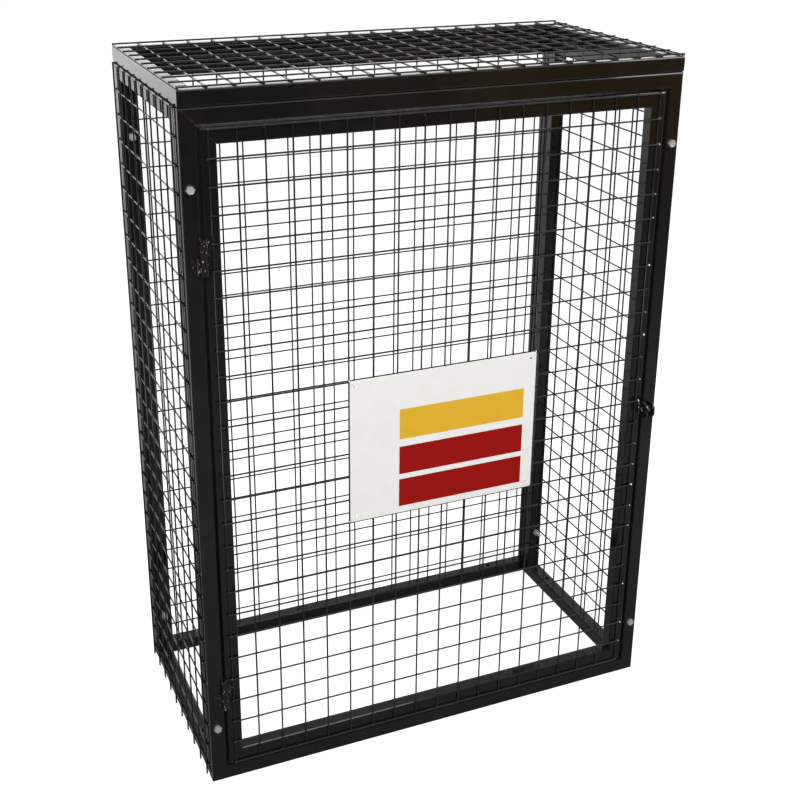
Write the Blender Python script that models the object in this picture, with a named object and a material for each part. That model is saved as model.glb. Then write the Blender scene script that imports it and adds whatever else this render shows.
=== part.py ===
# Gas cylinder cage: six welded frames of square tube with wire mesh, and a hinged front door.
# Metres, +Z up. The door faces -Y. The origin is on the floor under the middle of everything,
# the padlock tabs on the front and the mesh on the back included.

import math

import bmesh
import bpy
from mathutils import Matrix, Vector

# Overall sizes of the cage's tube frames
CAGE_WIDTH = 1.000
CAGE_DEPTH = 0.500
WALL_HEIGHT = 1.375

# Square tube of every frame
TUBE = 0.030
TUBE_CORNER = 0.003
TUBE_CORNER_STEPS = 2

# Clearance between pieces that touch on the real cage
TOUCH = 0.0003

# Door in the front frame
DOOR_HINGE_GAP = 0.005
DOOR_LATCH_GAP = 0.006
DOOR_TOP_GAP = 0.005
DOOR_BOTTOM_GAP = 0.005

# Welded wire mesh
WIRE_RADIUS = 0.0015
WIRE_SIDES = 4
WIRE_WELD_DEPTH = 0.0006
MESH_PITCH = 0.050
MESH_EDGE = 0.0025
DOOR_MESH_INSET = 0.015
DOOR_WIRE_OVERHANG = 0.005

# Wall meshes: whole squares with at least this much left over, a little off their frames' middles,
# across and up as seen from outside. On the sides the uprights are on the outside
MESH_LEFT_OVER = 0.020
SIDE_MESH_MIDDLE = (-0.006, 0.011)
SIDE_WIRE_OVERHANG = 0.010
BACK_MESH_MIDDLE = (0.015, -0.0065)

# The door's mesh has every wire. The walls and the lid have about every second wire each way
DOOR_WIRE_STEP = 1
WALL_WIRE_STEP = 2

# Barrel hinges on the front face, over the gap beside the door
BARREL_RADIUS = 0.007
BORE_RADIUS = 0.0033
BARREL_SIDES = 16
KNUCKLE_HEIGHT = 0.0315
KNUCKLE_GAP = 0.0005
PIN_RADIUS = 0.003
LEAF_THICKNESS = 0.003
LEAF_REACH = 0.0105
LOWER_HINGE_RISE = 0.209
UPPER_HINGE_DROP = 0.261

# Padlock tabs, one on the door and one on the front frame, a little below the door's middle
TAB_THICKNESS = 0.004
TAB_REACH = 0.030
TAB_HEIGHT = 0.030
TAB_CORNER = 0.009
TAB_CORNER_STEPS = 4
TAB_HOLE_RADIUS = 0.006
TAB_HOLE_SIDES = 16
TAB_DROP = 0.0175
FRAME_TAB_SETBACK = 0.006

# Sign plate hung on the door mesh, a little above the door's middle
SIGN_WIDTH = 0.400
SIGN_HEIGHT = 0.300
SIGN_THICKNESS = 0.002
SIGN_CORNER = 0.004
SIGN_CORNER_STEPS = 2
SIGN_RISE = 0.0025
SIGN_HOLE_RADIUS = 0.003
SIGN_HOLE_INSET = 0.012
SIGN_HOLE_SIDES = 12

# Holes down through the bottom tubes, set in from the cage's outer faces
FIXING_HOLE_RADIUS = 0.0055
FIXING_HOLE_SIDES = 12
SIDE_FIXING_INSET = 0.130
BACK_FIXING_INSET = 0.125

# Faces that meet at less than this are shaded as one round surface
SMOOTH_ANGLE = math.radians(50)

# Places worked out from the sizes above
FRONT = -CAGE_DEPTH / 2
WALL_PLANE = CAGE_DEPTH / 2 - TUBE / 2
SIDE_PLANE = CAGE_WIDTH / 2 - TUBE / 2
SIDE_LENGTH = CAGE_DEPTH - 2 * TUBE - 2 * TOUCH
LID_LEVEL = WALL_HEIGHT + TOUCH + TUBE / 2
OPENING_LEFT = -CAGE_WIDTH / 2 + TUBE
OPENING_RIGHT = CAGE_WIDTH / 2 - TUBE
OPENING_BOTTOM = TUBE
OPENING_TOP = WALL_HEIGHT - TUBE
DOOR_LEFT = OPENING_LEFT + DOOR_HINGE_GAP
DOOR_RIGHT = OPENING_RIGHT - DOOR_LATCH_GAP
DOOR_BOTTOM = OPENING_BOTTOM + DOOR_BOTTOM_GAP
DOOR_TOP = OPENING_TOP - DOOR_TOP_GAP
DOOR_CENTRE = (DOOR_LEFT + DOOR_RIGHT) / 2
DOOR_MIDDLE = (DOOR_BOTTOM + DOOR_TOP) / 2
HINGE_X = (OPENING_LEFT + DOOR_LEFT) / 2
HINGE_Y = FRONT - TOUCH - BARREL_RADIUS
INNER_WIRE = TOUCH + WIRE_RADIUS
OUTER_WIRE = INNER_WIRE + 2 * WIRE_RADIUS - WIRE_WELD_DEPTH
MESH_THICKNESS = OUTER_WIRE + WIRE_RADIUS
CAGE_SHIFT = (TOUCH + TAB_REACH - MESH_THICKNESS) / 2
HINGE_LEVELS = {"lower": LOWER_HINGE_RISE, "upper": WALL_HEIGHT - UPPER_HINGE_DROP}
TAB_LEVEL = DOOR_MIDDLE - TAB_DROP
SIGN_LEVEL = DOOR_MIDDLE + SIGN_RISE
SIDE_FIXING_SPACING = CAGE_DEPTH - 2 * SIDE_FIXING_INSET
BACK_FIXING_SPACING = CAGE_WIDTH - 2 * BACK_FIXING_INSET

BLACK_PAINT = ((0.012, 0.012, 0.011), 0.22, 0.0)
WIRE_PAINT = ((0.035, 0.034, 0.032), 0.30, 0.2)
HINGE_PAINT = ((0.020, 0.020, 0.019), 0.30, 0.3)
SIGN_PLASTIC = ((0.80, 0.79, 0.76), 0.45, 0.0)


def clear_scene():
    for obj in list(bpy.data.objects):
        bpy.data.objects.remove(obj, do_unlink=True)


def new_collection(name):
    collection = bpy.data.collections.new(name)
    bpy.context.scene.collection.children.link(collection)
    return collection


def paint(obj, finish):
    """Gives an object a Principled BSDF of its own."""
    colour, roughness, metallic = finish
    material = bpy.data.materials.new(obj.name + "_paint")
    material.use_nodes = True
    shader = material.node_tree.nodes["Principled BSDF"]
    shader.inputs["Base Color"].default_value = (*colour, 1.0)
    shader.inputs["Roughness"].default_value = roughness
    shader.inputs["Metallic"].default_value = metallic
    obj.data.materials.append(material)


def add_object(name, mesh, parent, location=(0, 0, 0), rotation=(0, 0, 0)):
    obj = bpy.data.objects.new(name, mesh)
    CAGE.objects.link(obj)
    obj.parent = parent
    obj.location = location
    obj.rotation_euler = rotation
    return obj


def add_empty(name, parent, location, rotation=(0, 0, 0)):
    empty = bpy.data.objects.new(name, None)
    CAGE.objects.link(empty)
    empty.parent = parent
    empty.location = location
    empty.rotation_euler = rotation
    return empty


def finish_mesh(name, bm):
    mesh = bpy.data.meshes.new(name)
    bm.to_mesh(mesh)
    bm.free()
    mesh.shade_smooth()
    mesh.set_sharp_from_angle(angle=SMOOTH_ANGLE)
    return mesh


def combine(obj, other, operation):
    """Adds an exact Boolean, and keeps the other shape out of sight with the cutters."""
    other.hide_render = True
    other.display_type = "WIRE"
    modifier = obj.modifiers.new(operation.lower() + "_" + other.name, "BOOLEAN")
    modifier.operation = operation
    modifier.solver = "EXACT"
    modifier.object = other


def add_cutter(name, mesh, parent, location=(0, 0, 0), rotation=(0, 0, 0)):
    cutter = bpy.data.objects.new(name, mesh)
    CUTTERS.objects.link(cutter)
    cutter.parent = parent
    cutter.location = location
    cutter.rotation_euler = rotation
    return cutter


def box_mesh(bm, low, high):
    """Adds a box between two corners, and gives back its vertices."""
    low = Vector(low)
    high = Vector(high)
    size = high - low
    matrix = Matrix.Translation((low + high) / 2) @ Matrix.Diagonal((*size, 1.0))
    return bmesh.ops.create_cube(bm, size=1.0, matrix=matrix)["verts"]


def rods_mesh(name, places, axis, radius, length, sides):
    """A mesh of like round rods along one axis, each at its own place."""
    turn = {
        "X": Matrix.Rotation(math.pi / 2, 4, "Y"),
        "Y": Matrix.Rotation(math.pi / 2, 4, "X"),
        "Z": Matrix.Identity(4),
    }[axis]
    bm = bmesh.new()
    for place in places:
        bmesh.ops.create_cone(
            bm,
            cap_ends=True,
            segments=sides,
            radius1=radius,
            radius2=radius,
            depth=length,
            matrix=Matrix.Translation(place) @ turn,
        )
    return finish_mesh(name, bm)


def tube_mesh(name, length):
    """A bar along Z with rounded long edges, mitred at both ends. Its -X side is the frame's outside."""
    bm = bmesh.new()
    half = TUBE / 2
    box_mesh(bm, (-half, -half, -length / 2), (half, half, length / 2))
    long_edges = [e for e in bm.edges if abs(e.verts[0].co.z - e.verts[1].co.z) > length / 2]
    bmesh.ops.bevel(
        bm,
        geom=long_edges,
        offset=TUBE_CORNER,
        segments=TUBE_CORNER_STEPS,
        profile=0.5,
        affect="EDGES",
    )
    mitre_gap = TOUCH / 2 * math.sqrt(2)
    for vertex in bm.verts:
        end = length / 2 - mitre_gap - (vertex.co.x + half)
        vertex.co.z = math.copysign(end, vertex.co.z)
    return finish_mesh(name, bm)


def build_frame(names, parent, width, height):
    """Four mitred bars round a rectangle in the parent's XZ plane.

    The names are those of the bars on its -X, +X, -Z and +Z sides."""
    across = width / 2 - TUBE / 2
    up = height / 2 - TUBE / 2
    bars = (
        (height, (-across, 0, 0), 0, "Z"),
        (height, (across, 0, 0), math.pi, "Z"),
        (width, (0, 0, -up), -math.pi / 2, "Y"),
        (width, (0, 0, up), math.pi / 2, "Y"),
    )
    made = []
    for name, (length, place, turn, axis) in zip(names, bars):
        rotation = (0, turn, 0) if axis == "Y" else (0, 0, turn)
        bar = add_object(name, tube_mesh(name, length), parent, place, rotation)
        paint(bar, BLACK_PAINT)
        made.append(bar)
    return made


def wire_places(span, step):
    """Even places of every step-th wire along a span, with a wire at both ends."""
    spaces = max(1, round(span / (MESH_PITCH * step)))
    return [-span / 2 + span * i / spaces for i in range(spaces + 1)]


def whole_squares(length):
    """The largest span of whole mesh squares that a length takes."""
    return math.floor((length - MESH_LEFT_OVER) / MESH_PITCH) * MESH_PITCH


def build_mesh(name, parent, span, length, step, middle=(0, 0), slide=0, uprights_out=False):
    """Two layers of wire on a frame's -Y face, welded over each other and fused into one sheet.

    span is the distance between the outermost wires, across and up, and middle is the middle of
    those wires. length is that of the crosswires and the uprights. slide moves the crosswires
    along themselves. The crosswires are the outer layer unless uprights_out is set."""
    layers = (-TUBE / 2 - INNER_WIRE, -TUBE / 2 - OUTER_WIRE)
    upright_layer, crosswire_layer = reversed(layers) if uprights_out else layers
    uprights = [(middle[0] + x, upright_layer, 0) for x in wire_places(span[0], step)]
    crosswires = [(slide, crosswire_layer, middle[1] + z) for z in wire_places(span[1], step)]
    sheet = add_object(
        name,
        rods_mesh(name, uprights, "Z", WIRE_RADIUS, length[1], WIRE_SIDES),
        parent,
    )
    paint(sheet, WIRE_PAINT)
    others = rods_mesh(name + "_crosswires", crosswires, "X", WIRE_RADIUS, length[0], WIRE_SIDES)
    combine(sheet, add_cutter(name + "_crosswires", others, parent), "UNION")


def drill_fixing_holes(bar, parent, spacing):
    """Two holes straight down through a wall's bottom bar."""
    level = -(WALL_HEIGHT - TUBE) / 2
    places = [(side * spacing / 2, 0, level) for side in (-1, 1)]
    holes = rods_mesh(
        bar.name + "_holes", places, "Z", FIXING_HOLE_RADIUS, 2 * TUBE, FIXING_HOLE_SIDES
    )
    combine(bar, add_cutter(bar.name + "_holes", holes, parent), "DIFFERENCE")


def build_front(base):
    parent = add_empty("front_frame", base, (0, -WALL_PLANE, WALL_HEIGHT / 2))
    names = ("front_left_post", "front_right_post", "front_bottom_rail", "front_top_rail")
    build_frame(names, parent, CAGE_WIDTH, WALL_HEIGHT)


def build_back(base):
    turn = (0, 0, math.pi)
    parent = add_empty("back_frame", base, (0, WALL_PLANE, WALL_HEIGHT / 2), turn)
    names = ("back_right_post", "back_left_post", "back_bottom_rail", "back_top_rail")
    bars = build_frame(names, parent, CAGE_WIDTH, WALL_HEIGHT)
    span = (whole_squares(CAGE_WIDTH), whole_squares(WALL_HEIGHT))
    length = (CAGE_WIDTH, WALL_HEIGHT)
    build_mesh("back_mesh", parent, span, length, WALL_WIRE_STEP, BACK_MESH_MIDDLE)
    drill_fixing_holes(bars[2], parent, BACK_FIXING_SPACING)


def build_side(base, side, x, turn, first, second):
    parent = add_empty(side + "_frame", base, (x, 0, WALL_HEIGHT / 2), (0, 0, turn))
    names = [side + "_" + part for part in (first, second, "bottom_rail", "top_rail")]
    bars = build_frame(names, parent, SIDE_LENGTH, WALL_HEIGHT)
    span = (whole_squares(CAGE_DEPTH), whole_squares(WALL_HEIGHT))
    length = (span[0] + 2 * SIDE_WIRE_OVERHANG, WALL_HEIGHT)
    slide = SIDE_MESH_MIDDLE[0]
    build_mesh(side + "_mesh", parent, span, length, WALL_WIRE_STEP, SIDE_MESH_MIDDLE, slide, True)
    drill_fixing_holes(bars[2], parent, SIDE_FIXING_SPACING)


def build_lid(base):
    turn = (-math.pi / 2, 0, 0)
    parent = add_empty("lid_frame", base, (0, 0, LID_LEVEL), turn)
    names = ("lid_left_rail", "lid_right_rail", "lid_front_rail", "lid_back_rail")
    build_frame(names, parent, CAGE_WIDTH, CAGE_DEPTH)
    span = (CAGE_WIDTH - 2 * MESH_EDGE, CAGE_DEPTH - 2 * MESH_EDGE)
    build_mesh("lid_mesh", parent, span, (CAGE_WIDTH, CAGE_DEPTH), WALL_WIRE_STEP)


def build_door(axis):
    """The door's frame and mesh, under the empty on the hinge axis."""
    place = (DOOR_CENTRE - HINGE_X, -WALL_PLANE - HINGE_Y, DOOR_MIDDLE)
    parent = add_empty("door_frame", axis, place)
    width = DOOR_RIGHT - DOOR_LEFT
    height = DOOR_TOP - DOOR_BOTTOM
    names = ("door_hinge_stile", "door_latch_stile", "door_bottom_rail", "door_top_rail")
    build_frame(names, parent, width, height)
    span = (width - 2 * DOOR_MESH_INSET, height - 2 * MESH_EDGE)
    length = (span[0] + 2 * DOOR_WIRE_OVERHANG, height)
    build_mesh("door_mesh", parent, span, length, DOOR_WIRE_STEP)


def knuckle_mesh(name):
    """A hollow barrel turned round Z, standing on z = 0."""
    bm = bmesh.new()
    profile = (
        (BARREL_RADIUS, 0, KNUCKLE_HEIGHT),
        (BARREL_RADIUS, 0, 0),
        (BORE_RADIUS, 0, 0),
        (BORE_RADIUS, 0, KNUCKLE_HEIGHT),
    )
    corners = [bm.verts.new(point) for point in profile]
    ring = [bm.edges.new((corners[i], corners[(i + 1) % 4])) for i in range(4)]
    bmesh.ops.spin(
        bm,
        geom=corners + ring,
        axis=(0, 0, 1),
        cent=(0, 0, 0),
        angle=2 * math.pi,
        steps=BARREL_SIDES,
        use_merge=True,
    )
    bmesh.ops.remove_doubles(bm, verts=bm.verts, dist=1e-6)
    bmesh.ops.recalc_face_normals(bm, faces=bm.faces)
    return finish_mesh(name, bm)


def build_knuckle(name, parent, place, side):
    """One half of a hinge: a barrel with a leaf that reaches to the left (-1) or the right (1)."""
    barrel = add_object(name, knuckle_mesh(name), parent, place)
    paint(barrel, HINGE_PAINT)
    bm = bmesh.new()
    near = (BORE_RADIUS + BARREL_RADIUS) / 2
    far = LEAF_REACH
    low = (min(side * near, side * far), BARREL_RADIUS - LEAF_THICKNESS, 0)
    high = (max(side * near, side * far), BARREL_RADIUS, KNUCKLE_HEIGHT)
    box_mesh(bm, low, high)
    leaf = add_cutter(name + "_leaf", finish_mesh(name + "_leaf", bm), parent, place)
    combine(barrel, leaf, "UNION")


def build_hinge(base, axis, title, level):
    """The frame half with its pin stands below the door half."""
    bottom = level - KNUCKLE_HEIGHT - KNUCKLE_GAP / 2
    build_knuckle("hinge_" + title + "_frame_half", base, (HINGE_X, HINGE_Y, bottom), -1)
    build_knuckle("hinge_" + title + "_door_half", axis, (0, 0, level + KNUCKLE_GAP / 2), 1)
    length = 2 * KNUCKLE_HEIGHT + KNUCKLE_GAP
    name = "hinge_" + title + "_pin"
    mesh = rods_mesh(name, [(0, 0, 0)], "Z", PIN_RADIUS, length, BARREL_SIDES)
    paint(add_object(name, mesh, base, (HINGE_X, HINGE_Y, level)), HINGE_PAINT)


def build_tab(name, parent, place):
    """A plate that stands out from the front face, with rounded outer corners and a padlock hole."""
    bm = bmesh.new()
    half = TAB_THICKNESS / 2
    box_mesh(bm, (-half, -TAB_REACH, -TAB_HEIGHT / 2), (half, 0, TAB_HEIGHT / 2))
    outer = [e for e in bm.edges if all(v.co.y < -TAB_REACH / 2 for v in e.verts)]
    outer = [e for e in outer if abs(e.verts[0].co.x - e.verts[1].co.x) > half]
    bmesh.ops.bevel(
        bm,
        geom=outer,
        offset=TAB_CORNER,
        segments=TAB_CORNER_STEPS,
        profile=0.5,
        affect="EDGES",
    )
    tab = add_object(name, finish_mesh(name, bm), parent, place)
    paint(tab, HINGE_PAINT)
    centre = Vector(place) + Vector((0, -TAB_REACH / 2, 0))
    hole = rods_mesh(
        name + "_hole", [(0, 0, 0)], "X", TAB_HOLE_RADIUS, 3 * TAB_THICKNESS, TAB_HOLE_SIDES
    )
    combine(tab, add_cutter(name + "_hole", hole, parent, centre), "DIFFERENCE")


def build_tabs(base, axis):
    front = FRONT - TOUCH
    door_x = DOOR_RIGHT - TAB_THICKNESS / 2 - HINGE_X
    build_tab("padlock_tab_door", axis, (door_x, front - HINGE_Y, TAB_LEVEL))
    frame_x = OPENING_RIGHT + FRAME_TAB_SETBACK + TAB_THICKNESS / 2
    build_tab("padlock_tab_frame", base, (frame_x, front, TAB_LEVEL))


def build_sign(axis):
    """A thin plate with rounded corners and four holes, in front of the door mesh."""
    back = FRONT - MESH_THICKNESS - TOUCH
    place = (DOOR_CENTRE - HINGE_X, back - SIGN_THICKNESS / 2 - HINGE_Y, SIGN_LEVEL)
    bm = bmesh.new()
    half = Vector((SIGN_WIDTH / 2, SIGN_THICKNESS / 2, SIGN_HEIGHT / 2))
    box_mesh(bm, -half, half)
    corners = [e for e in bm.edges if abs(e.verts[0].co.y - e.verts[1].co.y) > half.y]
    bmesh.ops.bevel(
        bm,
        geom=corners,
        offset=SIGN_CORNER,
        segments=SIGN_CORNER_STEPS,
        profile=0.5,
        affect="EDGES",
    )
    plate = add_object("sign_plate", finish_mesh("sign_plate", bm), axis, place)
    paint(plate, SIGN_PLASTIC)
    across = half.x - SIGN_HOLE_INSET
    up = half.z - SIGN_HOLE_INSET
    places = [(x, 0, z) for x in (-across, across) for z in (-up, up)]
    holes = rods_mesh(
        "sign_holes", places, "Y", SIGN_HOLE_RADIUS, 4 * SIGN_THICKNESS, SIGN_HOLE_SIDES
    )
    combine(plate, add_cutter("sign_holes", holes, axis, place), "DIFFERENCE")


clear_scene()
CAGE = new_collection("gas_cylinder_cage")
CUTTERS = new_collection("cutters")

BASE = add_empty("cage_base", None, (0, CAGE_SHIFT, 0))
build_front(BASE)
build_back(BASE)
build_side(BASE, "left", -SIDE_PLANE, -math.pi / 2, "back_post", "front_post")
build_side(BASE, "right", SIDE_PLANE, math.pi / 2, "front_post", "back_post")
build_lid(BASE)

HINGE_AXIS = add_empty("door_hinge_axis", BASE, (HINGE_X, HINGE_Y, 0))
build_door(HINGE_AXIS)
for hinge, hinge_level in HINGE_LEVELS.items():
    build_hinge(BASE, HINGE_AXIS, hinge, hinge_level)
build_tabs(BASE, HINGE_AXIS)
build_sign(HINGE_AXIS)
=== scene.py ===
# %% [markdown]
# # Dressing a gas cylinder cage
# The cage's solids come from its CAD model: square tubes, hinges, padlock tabs and a sign plate. They stay as
# they are. This lesson lays full wire mesh over the five panels, adds the bolts, welds and ties, gives each
# surface a finish made of nodes, and lights the cage in a white studio.
#
# All lengths are in metres. X runs to the right, Y runs away from the door, and Z is up.

# %% Load the cage and keep the size of its solids
import math
import random

import bmesh
import bpy
from mathutils import Matrix, Vector


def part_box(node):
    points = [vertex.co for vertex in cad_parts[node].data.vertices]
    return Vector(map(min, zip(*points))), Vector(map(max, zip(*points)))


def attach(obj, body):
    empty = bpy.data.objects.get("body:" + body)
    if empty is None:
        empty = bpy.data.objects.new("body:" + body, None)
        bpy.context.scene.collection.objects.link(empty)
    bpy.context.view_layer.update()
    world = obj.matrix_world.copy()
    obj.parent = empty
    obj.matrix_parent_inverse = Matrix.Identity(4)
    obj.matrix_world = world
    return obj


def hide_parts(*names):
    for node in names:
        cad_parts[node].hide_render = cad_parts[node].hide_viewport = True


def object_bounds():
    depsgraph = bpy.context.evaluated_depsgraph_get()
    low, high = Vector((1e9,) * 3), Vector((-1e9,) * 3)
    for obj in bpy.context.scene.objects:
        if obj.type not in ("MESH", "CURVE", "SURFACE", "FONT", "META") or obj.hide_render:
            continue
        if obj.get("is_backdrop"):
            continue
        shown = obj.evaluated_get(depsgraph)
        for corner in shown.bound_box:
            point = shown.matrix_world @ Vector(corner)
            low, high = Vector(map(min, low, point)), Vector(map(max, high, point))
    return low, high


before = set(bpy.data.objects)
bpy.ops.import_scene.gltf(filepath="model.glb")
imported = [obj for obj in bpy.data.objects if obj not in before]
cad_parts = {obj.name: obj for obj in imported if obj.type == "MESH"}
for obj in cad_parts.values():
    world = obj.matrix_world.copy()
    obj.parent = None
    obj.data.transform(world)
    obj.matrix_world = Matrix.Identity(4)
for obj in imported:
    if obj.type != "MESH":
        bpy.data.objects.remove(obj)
cad_box = [list(corner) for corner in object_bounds()]
print("the solids fill", [round(high - low, 4) for low, high in zip(*cad_box)])

# %% [markdown]
# ## Where things are
# Every new piece sits on the real solids, so its place is read from their boxes and never typed twice. The
# tube is 30 mm square. The front frame's face is the plane that the door, the bolts and the tabs share.

# %% Read the main places from the solids
front_low, front_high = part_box("front_left_post")
FRONT = front_low.y
TUBE = front_high.x - front_low.x
FRAME_TOP = front_high.z
LEFT = front_low.x
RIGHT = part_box("front_right_post")[1].x
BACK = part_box("back_left_post")[1].y
LID_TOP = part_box("lid_front_rail")[1].z
DOOR_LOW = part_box("door_hinge_stile")[0]
DOOR_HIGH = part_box("door_latch_stile")[1]
print(f"tube {TUBE * 1000:.0f} mm")
print(f"frame {RIGHT - LEFT:.3f} wide, {BACK - FRONT:.3f} deep, {FRAME_TOP:.3f} high")

# %% [markdown]
# ## The camera
# The camera stands to the left of the door and a little above the lid. A turn round Z, a tilt and a small
# roll put it there. The lens is moved down a little, as in a picture that was cropped after it was taken.

# %% Set up the camera
def about(axis, degrees):
    """A turn about one axis."""
    return Matrix.Rotation(math.radians(degrees), 4, axis)


camera_data = bpy.data.cameras.new("photographer")
camera_data.lens = 58.08
camera_data.shift_x = -0.0013
camera_data.shift_y = -0.0765
camera = bpy.data.objects.new("photographer", camera_data)
bpy.context.scene.collection.objects.link(camera)
turn, tilt, roll = about("Z", -23.834), about("X", 90 - 21.442), about("Z", 0.580)
camera.matrix_world = Matrix.Translation((-1.0125, -2.3194, 1.8020)) @ turn @ tilt @ roll
bpy.context.scene.camera = camera
print("camera at", [round(c, 2) for c in camera.location])

# %% [markdown]
# ## Working by hand, in code
# An operator acts on whatever is selected. These helpers clear the selection before a shape is added, and
# pick edges or faces by their place before they are shaped. *settle* puts a finished shape's place into its
# mesh, so that its object sits at the origin, as the solids do.

# %% Selection helpers
def start_clean():
    if bpy.context.mode != "OBJECT":
        bpy.ops.object.mode_set(mode="OBJECT")
    bpy.ops.object.select_all(action="DESELECT")


def select_only(*pieces):
    """Selects these pieces and nothing else. The first one becomes the active one."""
    start_clean()
    for piece in pieces:
        piece.select_set(True)
    bpy.context.view_layer.objects.active = pieces[0]


def edit_by_place(kind, test):
    """Goes into edit mode with only those vertices, edges or faces selected that pass the test."""
    bpy.ops.object.mode_set(mode="EDIT")
    bpy.ops.mesh.select_all(action="DESELECT")
    bpy.ops.mesh.select_mode(type=kind)
    bm = bmesh.from_edit_mesh(bpy.context.object.data)
    items = {"VERT": bm.verts, "EDGE": bm.edges, "FACE": bm.faces}[kind]
    for item in items:
        item.select = test(item)
    bm.select_flush_mode()
    bmesh.update_edit_mesh(bpy.context.object.data)


def heights(edge):
    """The Z of an edge's two ends."""
    return [vertex.co.z for vertex in edge.verts]


print("selection helpers ready")


# %% Helpers for finished shapes
def settle(piece, name, angle=35):
    """Puts an object's place and turn into its mesh, names it, and smooths its round faces."""
    select_only(piece)
    bpy.ops.object.transform_apply(location=True, rotation=True, scale=True)
    bpy.ops.object.shade_smooth_by_angle(angle=math.radians(angle))
    piece.name = name
    piece.data.name = name
    return piece


def join(pieces, name, angle=35):
    select_only(*pieces)
    bpy.ops.object.join()
    return settle(bpy.context.object, name, angle)


def copy_to(model, place, rotation=(0, 0, 0), size=1.0):
    """A copy of a modelled shape with its own mesh. size is one number, or one for each axis."""
    copy = model.copy()
    copy.data = model.data.copy()
    bpy.context.scene.collection.objects.link(copy)
    copy.location = place
    copy.rotation_euler = rotation
    copy.scale = (size, size, size) if isinstance(size, float) else size
    return copy


def repeat(piece, count, step):
    """Repeats the shape along a line with an Array modifier, and applies it."""
    select_only(piece)
    array = piece.modifiers.new("row", "ARRAY")
    array.use_relative_offset = False
    array.use_constant_offset = True
    array.constant_offset_displace = step
    array.count = count
    bpy.ops.object.modifier_apply(modifier=array.name)


def put_away(piece):
    """Removes a shape that was only a model for its copies."""
    bpy.data.objects.remove(piece, do_unlink=True)


print("shape helpers ready")

# %% [markdown]
# ## Finishes
# A finish is a Principled BSDF whose colour, roughness and bump come from node groups. Two groups are shared
# by all the painted steel. *paint film* is the paint itself: an orange-peel skin, slow waves where it ran
# thicker, and a brownish haze in places. *settled dust* lightens the faces that look up.
#
# The groups read Object coordinates, so a pattern keeps its real size in metres and stays on the piece.
#
# Wiring nodes takes the same few steps each time, so they come first as helpers. *feed* fills a node's
# inputs: it links what comes from another node and writes in a plain number or colour.

# %% Node helpers
def add_node(tree, kind, **settings):
    node = tree.nodes.new(kind)
    for name, value in settings.items():
        setattr(node, name, value)
    return node


def feed(tree, node, values):
    """Links or writes values into a node's inputs, given by their names or numbers."""
    for title, value in values.items():
        socket = node.inputs[title]
        if isinstance(value, bpy.types.NodeSocket):
            tree.links.new(value, socket)
        else:
            socket.default_value = value


def new_group(name, inputs, outputs):
    """An empty node group with named sockets, given as (name, type, value)."""
    tree = bpy.data.node_groups.new(name, "ShaderNodeTree")
    for title, kind, value in inputs:
        socket = tree.interface.new_socket(title, in_out="INPUT", socket_type="NodeSocket" + kind)
        if value is not None:
            socket.default_value = value
    for title, kind in outputs:
        tree.interface.new_socket(title, in_out="OUTPUT", socket_type="NodeSocket" + kind)
    return tree, add_node(tree, "NodeGroupInput").outputs, add_node(tree, "NodeGroupOutput")


def place_group(tree, group, values):
    """Places a node group in a material with its own values, and gives its outputs."""
    node = add_node(tree, "ShaderNodeGroup", node_tree=group)
    feed(tree, node, values)
    return node.outputs


def new_finish(name):
    """A new material, with its tree, its shader and the piece's own coordinates."""
    material = bpy.data.materials.new(name)
    material.use_nodes = True
    tree = material.node_tree
    place = add_node(tree, "ShaderNodeTexCoord").outputs["Object"]
    return material, tree, tree.nodes["Principled BSDF"], place


print("wiring helpers ready")


# %% Nodes that make, map and mix values
def noise(tree, vector, scale, detail=2.0, roughness=0.5):
    node = add_node(tree, "ShaderNodeTexNoise")
    feed(tree, node, {"Vector": vector, "Scale": scale, "Detail": detail, "Roughness": roughness})
    return node.outputs["Fac"]


def spread(tree, value, low, high, to_low=0.0, to_high=1.0):
    """Maps low..high of a value smoothly to to_low..to_high."""
    node = add_node(tree, "ShaderNodeMapRange", interpolation_type="SMOOTHSTEP")
    feed(tree, node, {"Value": value, "From Min": low, "From Max": high, "To Min": to_low, "To Max": to_high})
    return node.outputs["Result"]


def blend_colour(tree, mask, first, second):
    """The first colour where the mask is 0, and the second where it is 1."""
    node = add_node(tree, "ShaderNodeMix", data_type="RGBA")
    feed(tree, node, {"Factor": mask, "A": first, "B": second})
    return node.outputs["Result"]


def maths(tree, operation, first, *others):
    """An operation on one value, or on two or more, taken from left to right."""
    result = first
    for other in others or (None,):
        node = add_node(tree, "ShaderNodeMath", operation=operation)
        feed(tree, node, {0: result} if other is None else {0: result, 1: other})
        result = node.outputs[0]
    return result


def split(tree, vector):
    """A vector's outputs X, Y and Z."""
    node = add_node(tree, "ShaderNodeSeparateXYZ")
    feed(tree, node, {0: vector})
    return node.outputs


print("value helpers ready")

# %% Node group: paint film
film, film_in, film_out = new_group(
    "paint film",
    [("Vector", "Vector", None), ("Paint", "Color", (0.01, 0.01, 0.01, 1)),
     ("Haze", "Color", (0.02, 0.02, 0.02, 1)), ("Gloss", "Float", 0.2), ("Dull", "Float", 0.35)],
    [("Colour", "Color"), ("Roughness", "Float"), ("Height", "Float")],
)
film_place = film_in["Vector"]
patches = spread(film, noise(film, film_place, 7.0, 5.0, 0.6), 0.42, 0.68)
smears = spread(film, noise(film, film_place, 38.0, 4.0, 0.65), 0.35, 0.75, film_in["Gloss"], film_in["Dull"])
waves = noise(film, film_place, 55.0, 1.0)
peel = maths(film, "MULTIPLY", noise(film, film_place, 420.0, 1.0), 0.25)
feed(film, film_out, {
    "Colour": blend_colour(film, patches, film_in["Paint"], film_in["Haze"]),
    "Roughness": smears,
    "Height": maths(film, "ADD", waves, peel),
})
print(film.name, "has", len(film.nodes), "nodes")

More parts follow.
